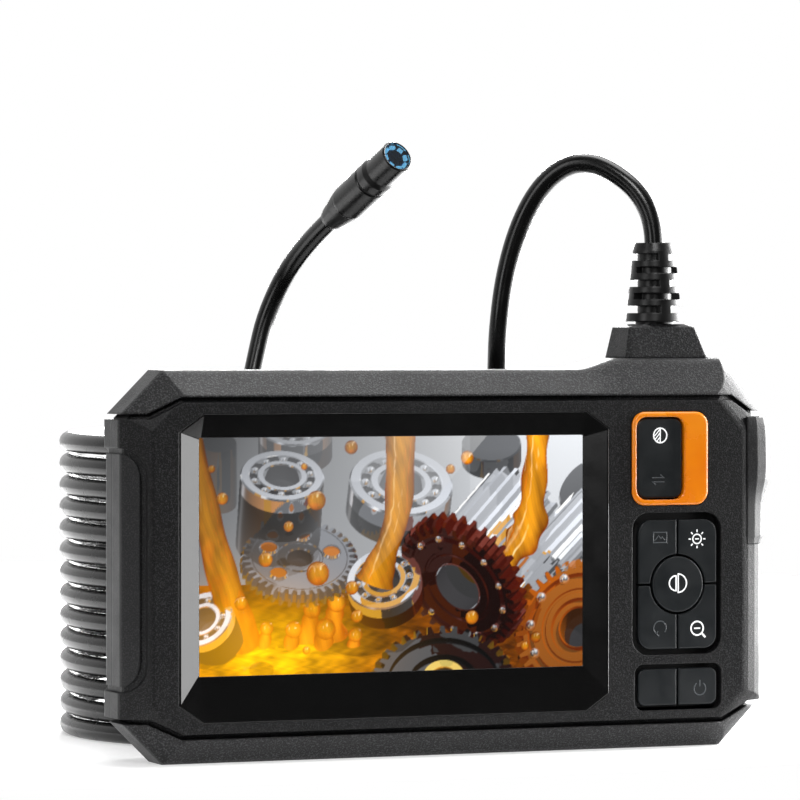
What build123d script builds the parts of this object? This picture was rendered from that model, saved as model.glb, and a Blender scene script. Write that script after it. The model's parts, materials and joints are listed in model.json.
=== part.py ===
"""Handheld inspection camera: a screen handset with a coiled cable and an 8 mm camera head.

Millimetres. +X is the handset's right, +Y goes from the screen to the back, +Z is up.
The origin is under the middle of the handset, on the surface it stands on.
"""
from build123d import *
from math import cos, pi, radians, sin, tan
import os

# ---- Handset case ----
CASE_LEFT, CASE_RIGHT = -81.5, 79.0       # side walls
CASE_TOP = 89.0                           # top edge, left of the shoulder
CASE_FRONT, CASE_BACK = -12.5, 13.1       # front panel and back faces
FACE_LEFT, FACE_RIGHT = -75.3, 71.8       # edges of the flat front face
FACE_BOTTOM, FACE_TOP = 5.9, 82.9
PARTING_Y = -1.1                          # joint between front and rear shells
CORNER_CUT_FACE, CORNER_CUT_RIM = 7.4, 10.0
RIGHT_CUT_SLOPE = 1.16                    # the upper right corner cut is steeper
SHOULDER_RISE = 2.6                       # raised shoulder under the cable
RAMP_START, RAMP_END, RAMP_STEPS = 31.8, 43.6, 7
BUMPER_T = 2.2                            # thickness of the soft bumpers
BUMPER_STEP = 0.5                         # bumper sides sit in from the shell's sides
WALL_T = 3.8                              # outside of the case to its cavity
GROOVE_LOW, GROOVE_HIGH, GROOVE_W = 7.1, 81.7, 1.2
SIDE_LOW, SIDE_HIGH = 10.6, 77.9          # the grooves' heights on the side walls
MIDDLE_Z = 46.8                           # height of the screen's centre
FAR = 120.0                               # beyond the case in any direction

# Depth, then how far the left side, the right side and the ends have grown from face (0) to rim (1).
# The left edge is a flat facet; the right edge is rounded.
CASE_SECTIONS = [
    (CASE_FRONT, -0.08, 0.02, -0.08), (-12.42, 0.0, 0.1, 0.0), (-12.15, 0.06, 0.26, 0.06),
    (-11.2, 0.235, 0.56, 0.235), (-10.0, 0.455, 0.78, 0.455), (-8.8, 0.676, 0.91, 0.676),
    (-7.8, 0.86, 0.965, 0.86), (-7.1, 0.96, 0.99, 0.96), (-6.3, 1.0, 1.0, 1.0),
    (2.6, 1.0, 1.0, 1.0), (3.6, 0.96, 0.96, 1.0), (7.4, 0.62, 0.62, 1.0), (8.3, 0.54, 0.54, 0.96),
    (12.5, 0.17, 0.17, 0.42), (CASE_BACK, 0.07, 0.07, 0.32),
]
CAVITY_FRONT, CAVITY_BACK = -10.3, 10.6
CAVITY_SECTIONS = [
    (CAVITY_FRONT, 0.38, 0.38, 0.38), (-6.5, 1.0, 1.0, 1.0), (3.0, 1.0, 1.0, 1.0), (7.6, 0.6, 0.6, 1.0),
    (CAVITY_BACK, 0.35, 0.35, 0.66),
]

# ---- Grips ----
GRIP_FRONT_X, GRIP_WALL_X = -76.2, -81.4
GRIP_LOW, GRIP_HIGH, GRIP_CURVE = 16.5, 71.5, 6.1
GRIP_BAND, GRIP_DEPTH, GRIP_STEP = 1.2, 1.0, 0.45
# The thumb pad follows the rounded right edge: height, then how far it stands proud there.
THUMB_SECTIONS = [
    (47.6, 0.1), (49.5, 0.75), (57.2, 0.85), (59.8, 1.35), (62.8, 2.2), (66.0, 2.5), (72.0, 2.35),
    (75.6, 2.05), (77.6, 1.5),
]
THUMB_ANGLES = [(12, 0.1), (30, 0.45), (48, 0.8), (68, 1.0), (90, 1.0)]   # around the edge, share of the rise
THUMB_INNER_ANGLES = [75, 45, 15]
EDGE_AXIS_Y, EDGE_ROUND_X, EDGE_ROUND_Y = -6.3, 7.2, 6.1                  # the right edge's rounding
THUMB_SINK, THUMB_FLOOR_X = 1.7, 76.6

# ---- Display ----
SCREEN_X, SCREEN_W, SCREEN_H = -16.0, 95.04, 53.86   # 4.3 inch, 16:9
SCREEN_Y = -10.3
BEZEL_LEFT, BEZEL_RIGHT, BEZEL_BOTTOM, BEZEL_TOP = -69.05, 37.3, 9.4, 79.2
BEZEL_CUT_X, BEZEL_CUT_Z, BEZEL_LAND = 5.8, 4.0, 0.35
BEZEL_BACK, FLANGE = -9.5, 0.9

# ---- Keys ----
KEY_FRONT, KEY_BACK = -12.3, -11.2
KEY_GAP = 0.5
STEM_R, STEM_BACK = 1.5, -8.5
KEYPAD = (45.0, 65.3, 23.4, 53.7)         # left, right, bottom, top of the key field
KEYPAD_OPENING = (43.3, 66.3, 22.1, 55.4)
LOWER_KEYS = (45.0, 65.3, 10.2, 18.8)
LOWER_OPENING = (43.9, 66.4, 9.1, 19.9)
SPLIT_X, SPLIT_Z = 55.15, 38.55
ROUND_KEY_R, ROUND_RING_R = 6.55, 7.05
TRIM = (43.1, 62.9, 57.1, 79.1)
TRIM_FRONT = -13.1
ROCKER = (44.4, 56.2, 58.8, 77.5)
ROCKER_FRONT, ROCKER_BACK = -12.6, -11.4
ROCKER_CLEARANCE = 0.35
ROCKER_PIN_R, ROCKER_PIN_Y, ROCKER_PIN_OUT = 0.7, -10.9, 0.9
ROCKER_SWITCH_Z = 6.0                     # the rocker's two switches, from its pivot
MAT_FRONT, MAT_BACK, MAT_HOLE_R, MAT_RELIEF_Y = -9.5, -8.7, 2.0, -9.2
ROCKER_RELIEF_X, ROCKER_RELIEF_Z, RIB_CLEARANCE = 6.5, 2.0, 1.0
MAT_LEFT, MAT_RIGHT, MAT_BOTTOM, MAT_TOP = 41.5, 67.2, 9.6, 80.0
SWITCH_FRONT = -7.5
BOARD_FRONT, BOARD_BACK = -6.0, -4.4

# ---- Cable outlet ----
OUTLET_X, OUTLET_Y = 55.3, 0.8
SHOULDER_Z = CASE_TOP + SHOULDER_RISE
COLLAR_TOP, COLLAR_PEAK, COLLAR_CUT = 98.8, 99.6, 1.2
COLLAR_BASE = (45.0, 66.8, -6.2, 7.4)     # left, right, front, back
COLLAR_RIM = (46.4, 64.0, -5.2, 6.4)
COLLAR_LID = (49.0, 61.6, -4.4, 5.6)
RELIEF_LOW, RELIEF_HIGH = 100.2, 118.8
RELIEF_R_LOW, RELIEF_R_HIGH, RELIEF_R_TIP, RELIEF_CORE_R = 6.8, 5.1, 4.55, 4.0
SIDE_SLOTS = [(102.2, 103.9), (108.4, 110.0), (114.6, 116.2)]
FRONT_SLOTS = [(105.4, 106.9), (111.6, 113.1)]
BRIDGE_W = 2.6
NECK_R, HOLE_R = 4.5, 4.6
CEILING = SHOULDER_Z - WALL_T
FLANGE_R, FLANGE_T, RELIEF_TIP_START = 6.5, 2.6, 116.9

# ---- Cable ----
CABLE_D = 4.7
CABLE_R = CABLE_D / 2
BORE_R = CABLE_R + 0.05
COIL_X, COIL_Y, COIL_R = -12.6, 69.6, 52.3
COIL_TURNS, COIL_PITCH = 14, 5.3
COIL_TOP = COIL_PITCH * (COIL_TURNS - 0.5) + CABLE_R    # the wound cable's first centre
ARCH_ROUTE = [
    (55.3, 0.8, 118.8), (55.2, 0.9, 124.0), (52.4, 3.4, 131.0), (48.1, 7.2, 135.6), (43.7, 11.1, 138.2),
    (38.9, 15.4, 137.6), (34.1, 19.7, 132.6), (30.3, 23.1, 123.8), (27.6, 25.6, 111.8), (26.3, 26.8, 98.5),
    (27.2, 29.6, 87.5), (30.0, 36.2, 79.6), (32.7, 42.6, 74.9), (35.7, 49.6, 73.9),
]
LEAD_ROUTE = [
    (13.6, 24.3, 2.35), (29.9, 36.4, 2.35), (36.8, 61.0, 4.5), (29.1, 86.5, 9.0), (10.9, 101.9, 15.5),
    (-11.4, 104.6, 24.0), (-30.2, 93.9, 34.5), (-36.5, 76.5, 47.5), (-31.0, 66.0, 61.5), (-24.8, 64.6, 76.0),
    (-20.7, 67.2, 90.5), (-17.2, 68.3, 103.2), (-12.0, 61.6, 117.2), (-8.6, 47.7, 124.8),
]

# ---- Camera head ----
HEAD_TAIL = Vector(-8.6, 47.7, 124.8)
HEAD_DIR = Vector(0.207, -0.859, 0.468).normalized()
HEAD_SIDE = HEAD_DIR.cross(Vector(0, 0, 1)).normalized()
HEAD_AXIS = Axis(HEAD_TAIL, HEAD_DIR)
BARREL_R, BARREL_START, BARREL_FULL, HEAD_LENGTH = 4.0, 19.4, 23.4, 31.0   # from the tail's end
SLEEVE_R, SLEEVE_END, TAIL_LENGTH = 4.45, 18.9, 8.0
SHELL_BORE_R, WINDOW_SEAT_R = 3.4, 3.55
LED_COUNT, LED_CIRCLE_R = 8, 2.75

# ---- Ports on the right side ----
PORT_Y, USB_Z, CARD_Z = -2.75, 27.6, 40.0
PORT_INNER_X = 70.0
FLAP_Y, FLAP_Z, FLAP_T, FLAP_GAP = (-5.6, 2.2), (20.0, 46.6), 1.8, 0.3
FLAP_PIN_X, FLAP_PIN_Z, FLAP_PIN_R = 78.1, 20.9, 0.55

# ---- Screws ----
SCREW_PLACES = [(-60.0, 10.5), (0.0, 10.5), (60.0, 10.5), (-60.0, 78.5), (-10.0, 78.5), (40.0, 78.5)]
SCREW_RIBS = [-7.0, -7.0, -7.0, 6.5, 6.5, 6.5]     # from the screw to the wall
BOSS_R, BOSS_FRONT, RIB_W = 2.5, -5.8, 2.4
PILOT_R, SHANK_R, SHANK_FRONT = 1.0, 0.95, -5.0
HEAD_R, HEAD_SEAT_Y, HEAD_T, HEAD_CLEARANCE = 2.2, 8.0, 1.8, 0.2
DRIVE_LENGTH, DRIVE_W, DRIVE_DEPTH = 2.8, 0.7, 0.8    # the cross recess in each screw head


def mix(a, b, t):
    return a + (b - a) * t


def facing(y):
    """The plane at this depth, seen from the front: its own x and y are X and Z."""
    return Plane.XZ.offset(-y)


def case_outline(left_share, right_share, ends, inset=0.0, side_step=0.0):
    """The handset's outline, with its cut corners and the S-shaped rise to the shoulder."""
    left = mix(FACE_LEFT, CASE_LEFT, left_share) + inset + side_step
    right = mix(FACE_RIGHT, CASE_RIGHT, right_share) - inset - side_step
    bottom = mix(FACE_BOTTOM, 0.0, ends) + inset
    top = mix(FACE_TOP, CASE_TOP, ends) - inset
    rise = SHOULDER_RISE * max(ends, 0.05)
    cut = mix(CORNER_CUT_FACE, CORNER_CUT_RIM, ends) - 0.6 * inset
    points = [(left, bottom + cut), (left, top - cut), (left + cut, top)]
    for step in range(RAMP_STEPS + 1):
        t = step / RAMP_STEPS
        points.append((mix(RAMP_START, RAMP_END, t), top + rise * (1 - cos(pi * t)) / 2))
    points.append((right - cut, top + rise))
    points.append((right, top + rise - cut * RIGHT_CUT_SLOPE))
    points += [(right, bottom + cut), (right - cut, bottom), (left + cut, bottom)]
    return points


def polygon_at(plane, points):
    with BuildSketch(plane) as sketch:
        with BuildLine():
            Polyline(points, close=True)
        make_face()
    return sketch.sketch


def case_solid(inset=0.0, side_step=0.0, sections=CASE_SECTIONS):
    slices = [
        polygon_at(facing(y), case_outline(left, right, ends, inset, side_step))
        for y, left, right, ends in sections
    ]
    with BuildPart() as solid:
        loft(slices, ruled=True)
    return solid.part


def prism(points, y_front, y_back):
    with BuildPart() as solid:
        extrude(polygon_at(facing(y_front), points), amount=y_front - y_back)
    return solid.part


def rounded_block(edges, radius, y_front, y_back, grow=0.0):
    """A block with rounded corners; edges are its left, right, bottom and top."""
    left, right, bottom, top = edges
    with BuildPart() as solid:
        with BuildSketch(facing(y_front)):
            with Locations(((left + right) / 2, (bottom + top) / 2)):
                RectangleRounded(right - left + 2 * grow, top - bottom + 2 * grow, radius + grow)
        extrude(amount=y_front - y_back)
    return solid.part


def rod(x, z, radius, y_front, y_back):
    with BuildPart() as solid:
        with BuildSketch(facing(y_front)):
            with Locations((x, z)):
                Circle(radius)
        extrude(amount=y_front - y_back)
    return solid.part


def box_between(low, high):
    size = [b - a for a, b in zip(low, high)]
    with BuildPart() as solid:
        with Locations(tuple((a + b) / 2 for a, b in zip(low, high))):
            Box(*size)
    return solid.part


def cut_rectangle(left, right, bottom, top, cut_x, cut_z):
    return [
        (left, bottom + cut_z), (left, top - cut_z), (left + cut_x, top), (right - cut_x, top),
        (right, top - cut_z), (right, bottom + cut_z), (right - cut_x, bottom), (left + cut_x, bottom),
    ]


def bezel_outline(grow):
    return cut_rectangle(
        BEZEL_LEFT - grow, BEZEL_RIGHT + grow, BEZEL_BOTTOM - grow, BEZEL_TOP + grow, BEZEL_CUT_X, BEZEL_CUT_Z
    )


def screen_edges(grow=0.0):
    half_w, half_h = SCREEN_W / 2 + grow, SCREEN_H / 2 + grow
    return SCREEN_X - half_w, SCREEN_X + half_w, MIDDLE_Z - half_h, MIDDLE_Z + half_h


def screen_box(y_front, y_back, grow=0.0):
    left, right, bottom, top = screen_edges(grow)
    return box_between((left, y_front, bottom), (right, y_back, top))


def grip_zone(band):
    """The D-shaped area on the left side, a band in from its edge."""
    front = GRIP_FRONT_X - band
    low, high = GRIP_LOW + band, GRIP_HIGH - band
    arc = 6
    points = [(-FAR, low), (GRIP_WALL_X, low)]
    for step in range(1, arc + 1):
        angle = radians(90 * step / arc)
        points.append((mix(GRIP_WALL_X, front, sin(angle)), low + GRIP_CURVE * (1 - cos(angle))))
    mirrored = [(x, low + high - z) for x, z in reversed(points)]
    return prism(points + mirrored, -FAR, 9.0)


def edge_point(angle, grow):
    """A point on the rounded right edge, 0 degrees on the face and 90 on the side, moved out by grow."""
    turn = radians(angle)
    x = FACE_RIGHT + (EDGE_ROUND_X + grow) * sin(turn)
    return x, EDGE_AXIS_Y - (EDGE_ROUND_Y + grow) * cos(turn)


def thumb_section(z, rise):
    outer = [edge_point(angle, rise * share) for angle, share in THUMB_ANGLES]
    side = CASE_RIGHT + rise
    inner = [edge_point(angle, -THUMB_SINK) for angle in THUMB_INNER_ANGLES]
    points = outer + [(side - 0.02, -1.8), (side - 0.3, PARTING_Y), (THUMB_FLOOR_X, PARTING_Y)] + inner
    return polygon_at(Plane.XY.offset(z), points)


def head_part(profile):
    """A turned piece of the camera head; the profile is (distance from the tail, radius)."""
    with BuildPart() as solid:
        with BuildSketch(Plane(origin=HEAD_TAIL, x_dir=HEAD_DIR, z_dir=HEAD_SIDE)):
            with BuildLine():
                Polyline(profile, close=True)
            make_face()
        revolve(axis=HEAD_AXIS)
    return solid.part


def tube(route):
    """The cable along straight runs joined by tangent arcs."""
    points = [Vector(*p) for p in route]
    radii = []
    for before, corner, after in zip(points, points[1:], points[2:]):
        turn = radians((corner - before).get_angle(after - corner))
        shorter = min((corner - before).length, (after - corner).length)
        radii.append(0.45 * shorter / tan(turn / 2))
    print("arc radii", [round(radius, 1) for radius in radii])
    with BuildPart() as solid:
        with BuildLine() as path:
            FilletPolyline(*points, radius=radii)
        with BuildSketch(Plane(origin=points[0], z_dir=points[1] - points[0])):
            Circle(CABLE_R)
        sweep(path=path.wires()[0])
    length = path.wires()[0].length
    ratio = solid.part.volume / (pi * CABLE_R**2 * length)
    print("tube length", round(length, 1), "volume ratio", round(ratio, 4))
    return solid.part


def save(part, name):
    part.label = name
    export_step(part, f"parts/{name}.step")


os.makedirs("parts", exist_ok=True)

# ---- Shapes shared by the shells and bumpers ----
case = case_solid()
core = case_solid(inset=BUMPER_T)
cavity = case_solid(inset=WALL_T, sections=CAVITY_SECTIONS)
middle_zone = prism([
    (-FAR, SIDE_LOW), (-75.3, SIDE_LOW), (-67.9, GROOVE_LOW), (66.5, GROOVE_LOW), (74.0, SIDE_LOW),
    (FAR, SIDE_LOW), (FAR, SIDE_HIGH), (75.4, SIDE_HIGH), (69.4, GROOVE_HIGH), (-67.9, GROOVE_HIGH),
    (-75.3, SIDE_HIGH), (-FAR, SIDE_HIGH),
], -FAR, FAR)
top_zone = prism([
    (-FAR, SIDE_HIGH + GROOVE_W), (-75.6, SIDE_HIGH + GROOVE_W), (-68.2, GROOVE_HIGH + GROOVE_W),
    (69.7, GROOVE_HIGH + GROOVE_W), (75.9, SIDE_HIGH + GROOVE_W), (FAR, SIDE_HIGH + GROOVE_W), (FAR, FAR),
    (-FAR, FAR),
], -FAR, FAR)
bottom_zone = prism([
    (-FAR, SIDE_LOW - GROOVE_W), (-75.6, SIDE_LOW - GROOVE_W), (-68.2, GROOVE_LOW - GROOVE_W),
    (66.8, GROOVE_LOW - GROOVE_W), (74.5, SIDE_LOW - GROOVE_W), (FAR, SIDE_LOW - GROOVE_W), (FAR, -FAR),
    (-FAR, -FAR),
], -FAR, FAR)
bumper_stock = case_solid(side_step=BUMPER_STEP)
grip_pocket, grip_plug = grip_zone(0.0), grip_zone(GRIP_BAND)
grip_floor = case_solid(inset=GRIP_DEPTH)
grip_skin = case_solid(inset=GRIP_STEP)
with BuildPart() as thumb_stock:
    loft([thumb_section(z, bulge) for z, bulge in THUMB_SECTIONS], ruled=True)
with BuildPart() as outlet_hole:
    with BuildSketch(Plane.XY.offset(CEILING - 10)):
        with Locations((OUTLET_X, OUTLET_Y)):
            Circle(HOLE_R)
    extrude(amount=30)
rear_bosses = [rod(x, z, BOSS_R, PARTING_Y, CAVITY_BACK + 1) for x, z in SCREW_PLACES]
front_bosses = [rod(x, z, BOSS_R, BOSS_FRONT, PARTING_Y) for x, z in SCREW_PLACES]
boss_ribs = []
for (x, z), reach in zip(SCREW_PLACES, SCREW_RIBS):
    z_low, z_high = sorted((z, z + reach))
    rib_back = CAVITY_BACK - RIB_CLEARANCE
    boss_ribs.append(box_between((x - RIB_W / 2, BOSS_FRONT, z_low), (x + RIB_W / 2, rib_back, z_high)))
port_pocket = box_between(
    (CASE_RIGHT - FLAP_T - 0.2, FLAP_Y[0] - FLAP_GAP, FLAP_Z[0] - FLAP_GAP),
    (FAR, FLAP_Y[1] + FLAP_GAP, FLAP_Z[1] + FLAP_GAP),
)
usb_hole = box_between((PORT_INNER_X, PORT_Y - 1.95, USB_Z - 4.8), (78, PORT_Y + 1.95, USB_Z + 4.8))
card_hole = box_between((PORT_INNER_X, -4.5, CARD_Z - 6.0), (78, -2.8, CARD_Z + 6.0))
hinge_hole = rod(FLAP_PIN_X, FLAP_PIN_Z, FLAP_PIN_R, -6.2, 2.8)

with BuildPart() as shells:
    add(case)
    add(middle_zone, mode=Mode.INTERSECT)
    add(core)
    add(cavity, mode=Mode.SUBTRACT)
    add(rear_bosses + front_bosses + boss_ribs)
    for x, z in SCREW_PLACES:
        add(rod(x, z, PILOT_R, BOSS_FRONT - 0.1, CASE_BACK), mode=Mode.SUBTRACT)
        add(rod(x, z, HEAD_R + HEAD_CLEARANCE, HEAD_SEAT_Y, FAR), mode=Mode.SUBTRACT)
    add([outlet_hole.part, port_pocket, usb_hole, card_hole, hinge_hole], mode=Mode.SUBTRACT)
    add(thumb_stock.part, mode=Mode.SUBTRACT)

with BuildPart() as grip_recess:
    add(grip_pocket)
    add(grip_floor, mode=Mode.SUBTRACT)

# ---- Case ----
with BuildPart() as front_shell:
    add(shells.part)
    split(bisect_by=facing(PARTING_Y), keep=Keep.TOP)
    add(grip_recess.part, mode=Mode.SUBTRACT)
    add(prism(bezel_outline(0.0), -FAR, CAVITY_FRONT), mode=Mode.SUBTRACT)
    add(rounded_block(TRIM, 3.3, -FAR, CAVITY_FRONT), mode=Mode.SUBTRACT)
    add(rounded_block(KEYPAD_OPENING, 4.0, -FAR, CAVITY_FRONT), mode=Mode.SUBTRACT)
    add(rounded_block(LOWER_OPENING, 2.2, -FAR, CAVITY_FRONT), mode=Mode.SUBTRACT)
save(front_shell.part, "front_shell")

with BuildPart() as rear_shell:
    add(shells.part)
    split(bisect_by=facing(PARTING_Y), keep=Keep.BOTTOM)
    add(grip_recess.part, mode=Mode.SUBTRACT)
save(rear_shell.part, "rear_shell")

with BuildPart() as top_bumper:
    add(bumper_stock)
    add(top_zone, mode=Mode.INTERSECT)
    add([core, outlet_hole.part], mode=Mode.SUBTRACT)
save(top_bumper.part, "top_bumper")

with BuildPart() as bottom_bumper:
    add(bumper_stock)
    add(bottom_zone, mode=Mode.INTERSECT)
    add(core, mode=Mode.SUBTRACT)
save(bottom_bumper.part, "bottom_bumper")

with BuildPart() as grip_pads:
    add(grip_skin)
    add(grip_plug, mode=Mode.INTERSECT)
    add(grip_floor, mode=Mode.SUBTRACT)
with BuildPart() as left_grip_pad:
    add(grip_pads.part)
    split(bisect_by=facing(PARTING_Y), keep=Keep.TOP)
save(left_grip_pad.part, "left_grip_pad")
with BuildPart() as left_rear_grip_pad:
    add(grip_pads.part)
    split(bisect_by=facing(PARTING_Y), keep=Keep.BOTTOM)
save(left_rear_grip_pad.part, "left_rear_grip_pad")

with BuildPart() as right_thumb_pad:
    add(thumb_stock.part)
save(right_thumb_pad.part, "right_thumb_pad")

with BuildPart() as case_screws:
    for x, z in SCREW_PLACES:
        add(rod(x, z, SHANK_R, SHANK_FRONT, HEAD_SEAT_Y))
        add(rod(x, z, HEAD_R, HEAD_SEAT_Y, HEAD_SEAT_Y + HEAD_T))
        slot_y = HEAD_SEAT_Y + HEAD_T - DRIVE_DEPTH
        for half_x, half_z in ((DRIVE_LENGTH / 2, DRIVE_W / 2), (DRIVE_W / 2, DRIVE_LENGTH / 2)):
            slot = box_between((x - half_x, slot_y, z - half_z), (x + half_x, FAR, z + half_z))
            add(slot, mode=Mode.SUBTRACT)
save(case_screws.part, "case_screws")

# ---- Display ----
left, right, bottom, top = screen_edges()
with BuildPart() as bezel_slope:
    loft([
        polygon_at(facing(-12.6), bezel_outline(-BEZEL_LAND + 0.15)),
        polygon_at(facing(SCREEN_Y), cut_rectangle(left, right, bottom, top, 0.5, 0.4)),
    ], ruled=True)
with BuildPart() as display_bezel:
    add(prism(bezel_outline(-0.1), CASE_FRONT, CAVITY_FRONT))
    add(prism(bezel_outline(FLANGE), CAVITY_FRONT, BEZEL_BACK))
    add(bezel_slope.part, mode=Mode.SUBTRACT)
    add(screen_box(SCREEN_Y - 0.2, BEZEL_BACK), mode=Mode.SUBTRACT)
save(display_bezel.part, "display_bezel")

with BuildPart() as display_glass:
    add(screen_box(SCREEN_Y, BEZEL_BACK, grow=-0.05))
save(display_glass.part, "display_glass")

with BuildPart() as display_gasket:
    add(screen_box(BEZEL_BACK, -8.9, grow=4.0))
    add(screen_box(-9.6, -8.8, grow=0.5), mode=Mode.SUBTRACT)
save(display_gasket.part, "display_gasket")

with BuildPart() as display_panel:
    add(screen_box(-8.9, -6.3, grow=4.6))
save(display_panel.part, "display_panel")

# ---- Keys ----
rocker_x, rocker_z = (ROCKER[0] + ROCKER[1]) / 2, (ROCKER[2] + ROCKER[3]) / 2
with BuildPart() as rocker_bores:
    with BuildSketch(Plane.YZ.offset(ROCKER[0] - ROCKER_PIN_OUT)):
        with Locations((ROCKER_PIN_Y, rocker_z)):
            Circle(ROCKER_PIN_R + 0.05)
    extrude(amount=ROCKER[1] - ROCKER[0] + 2 * ROCKER_PIN_OUT)
with BuildPart() as function_trim_ring:
    add(rounded_block(TRIM, 3.3, TRIM_FRONT, CAVITY_FRONT, grow=-0.05))
    fillet(function_trim_ring.faces().sort_by(Axis.Y)[0].edges(), 0.7)
    add(rounded_block(TRIM, 3.3, CAVITY_FRONT, MAT_FRONT, grow=0.7))
    add(rounded_block(ROCKER, 2.3, -FAR, FAR, grow=ROCKER_CLEARANCE), mode=Mode.SUBTRACT)
    add(rocker_bores.part, mode=Mode.SUBTRACT)
save(function_trim_ring.part, "function_trim_ring")

with BuildPart() as rocker_pins:
    with BuildSketch(Plane.YZ.offset(ROCKER[0] - ROCKER_PIN_OUT + 0.1)):
        with Locations((ROCKER_PIN_Y, rocker_z)):
            Circle(ROCKER_PIN_R)
    extrude(amount=ROCKER[1] - ROCKER[0] + 2 * ROCKER_PIN_OUT - 0.2)
with BuildPart() as function_key:
    add(rounded_block(ROCKER, 2.3, ROCKER_FRONT, ROCKER_BACK))
    fillet(function_key.faces().sort_by(Axis.Y)[0].edges(), 0.5)
    add(box_between((rocker_x - 5, ROCKER_BACK, rocker_z - 1.3), (rocker_x + 5, -10.0, rocker_z + 1.3)))
    add(rocker_pins.part)
    for side in (-1, 1):
        add(rod(rocker_x, rocker_z + side * ROCKER_SWITCH_Z, STEM_R, ROCKER_BACK, STEM_BACK))
save(function_key.part, "function_key")


def finish_key(blank, stem_x, stem_z):
    """Softens the key's front edges and gives it the stem that reaches its switch."""
    with BuildPart() as key:
        add(blank)
        fillet(key.faces().sort_by(Axis.Y)[0].edges(), 0.35)
        add(rod(stem_x, stem_z, STEM_R, KEY_BACK, STEM_BACK))
    return key.part


stems = {}
for name, side_x, side_z in [
    ("upper_left_key", -1, 1), ("brightness_key", 1, 1), ("lower_left_key", -1, -1), ("zoom_key", 1, -1),
]:
    near, far = KEY_GAP / 2, 30.0
    x_range = sorted((SPLIT_X + side_x * near, SPLIT_X + side_x * far))
    z_range = sorted((SPLIT_Z + side_z * near, SPLIT_Z + side_z * far))
    quarter = box_between((x_range[0], -FAR, z_range[0]), (x_range[1], FAR, z_range[1]))
    with BuildPart() as corner_blank:
        add(rounded_block(KEYPAD, 3.2, KEY_FRONT, KEY_BACK))
        add(quarter, mode=Mode.INTERSECT)
        add(rod(SPLIT_X, SPLIT_Z, ROUND_RING_R, -FAR, FAR), mode=Mode.SUBTRACT)
    stems[name] = (SPLIT_X + side_x * 6.2, SPLIT_Z + side_z * 9.6)
    save(finish_key(corner_blank.part, *stems[name]), name)

stems["center_key"] = (SPLIT_X, SPLIT_Z)
round_blank = rod(SPLIT_X, SPLIT_Z, ROUND_KEY_R, KEY_FRONT - 0.2, KEY_BACK)
save(finish_key(round_blank, SPLIT_X, SPLIT_Z), "center_key")

key_left, key_right, key_bottom, key_top = LOWER_KEYS
for name, x_low, x_high in [
    ("photo_key", key_left, SPLIT_X - KEY_GAP / 2), ("power_key", SPLIT_X + KEY_GAP / 2, key_right),
]:
    stems[name] = ((x_low + x_high) / 2, (key_bottom + key_top) / 2)
    with BuildPart() as lower_blank:
        add(rounded_block(LOWER_KEYS, 1.8, KEY_FRONT, KEY_BACK))
        add(box_between((x_low, -FAR, 0), (x_high, FAR, FAR)), mode=Mode.INTERSECT)
    save(finish_key(lower_blank.part, *stems[name]), name)

stem_places = list(stems.values()) + [(rocker_x, rocker_z + side * ROCKER_SWITCH_Z) for side in (-1, 1)]
rocker_relief = box_between(
    (rocker_x - ROCKER_RELIEF_X, -FAR, rocker_z - ROCKER_RELIEF_Z),
    (rocker_x + ROCKER_RELIEF_X, MAT_RELIEF_Y, rocker_z + ROCKER_RELIEF_Z),
)
with BuildPart() as keypad_mat:
    add(box_between((MAT_LEFT, MAT_FRONT, MAT_BOTTOM), (MAT_RIGHT, MAT_BACK, MAT_TOP)))
    for x, z in stem_places:
        add(rod(x, z, MAT_HOLE_R, -FAR, FAR), mode=Mode.SUBTRACT)
    add(rocker_relief, mode=Mode.SUBTRACT)
save(keypad_mat.part, "keypad_mat")

with BuildPart() as tact_switches:
    for x, z in stem_places:
        add(box_between((x - 2.2, -7.2, z - 2.2), (x + 2.2, BOARD_FRONT, z + 2.2)))
        add(rod(x, z, 1.0, SWITCH_FRONT, -7.2))
save(tact_switches.part, "tact_switches")

# ---- Electronics ----
with BuildPart() as main_board:
    add(box_between((-66.0, BOARD_FRONT, 14.0), (69.5, BOARD_BACK, 75.5)))
save(main_board.part, "main_board")

with BuildPart() as battery_cell:
    add(box_between((-48.0, -0.5, 28.0), (2.0, 9.5, 62.0)))
    fillet(battery_cell.edges().filter_by(Axis.X), 2.0)
save(battery_cell.part, "battery_cell")

with BuildPart() as usb_c_socket:
    with BuildSketch(Plane.YZ.offset(67.5)):
        with Locations((PORT_Y, USB_Z)):
            RectangleRounded(3.26, 8.94, 1.6)
    extrude(amount=8.0)
    with BuildSketch(Plane.YZ.offset(75.5)):
        with Locations((PORT_Y, USB_Z)):
            RectangleRounded(2.56, 8.34, 1.26)
    extrude(amount=-6.6, mode=Mode.SUBTRACT)
    add(box_between((68.5, PORT_Y - 0.35, USB_Z - 3.35), (74.8, PORT_Y + 0.35, USB_Z + 3.35)))
save(usb_c_socket.part, "usb_c_socket")

with BuildPart() as card_socket:
    add(box_between((60.5, BOARD_BACK, CARD_Z - 6.0), (75.1, -2.9, CARD_Z + 6.0)))
    add(box_between((61.5, -4.1, CARD_Z - 5.5), (76.0, -3.2, CARD_Z + 5.5)), mode=Mode.SUBTRACT)
save(card_socket.part, "card_socket")

with BuildPart() as port_hinge_pin:
    add(rod(FLAP_PIN_X, FLAP_PIN_Z, FLAP_PIN_R, -6.2, 2.8))
save(port_hinge_pin.part, "port_hinge_pin")

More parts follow.
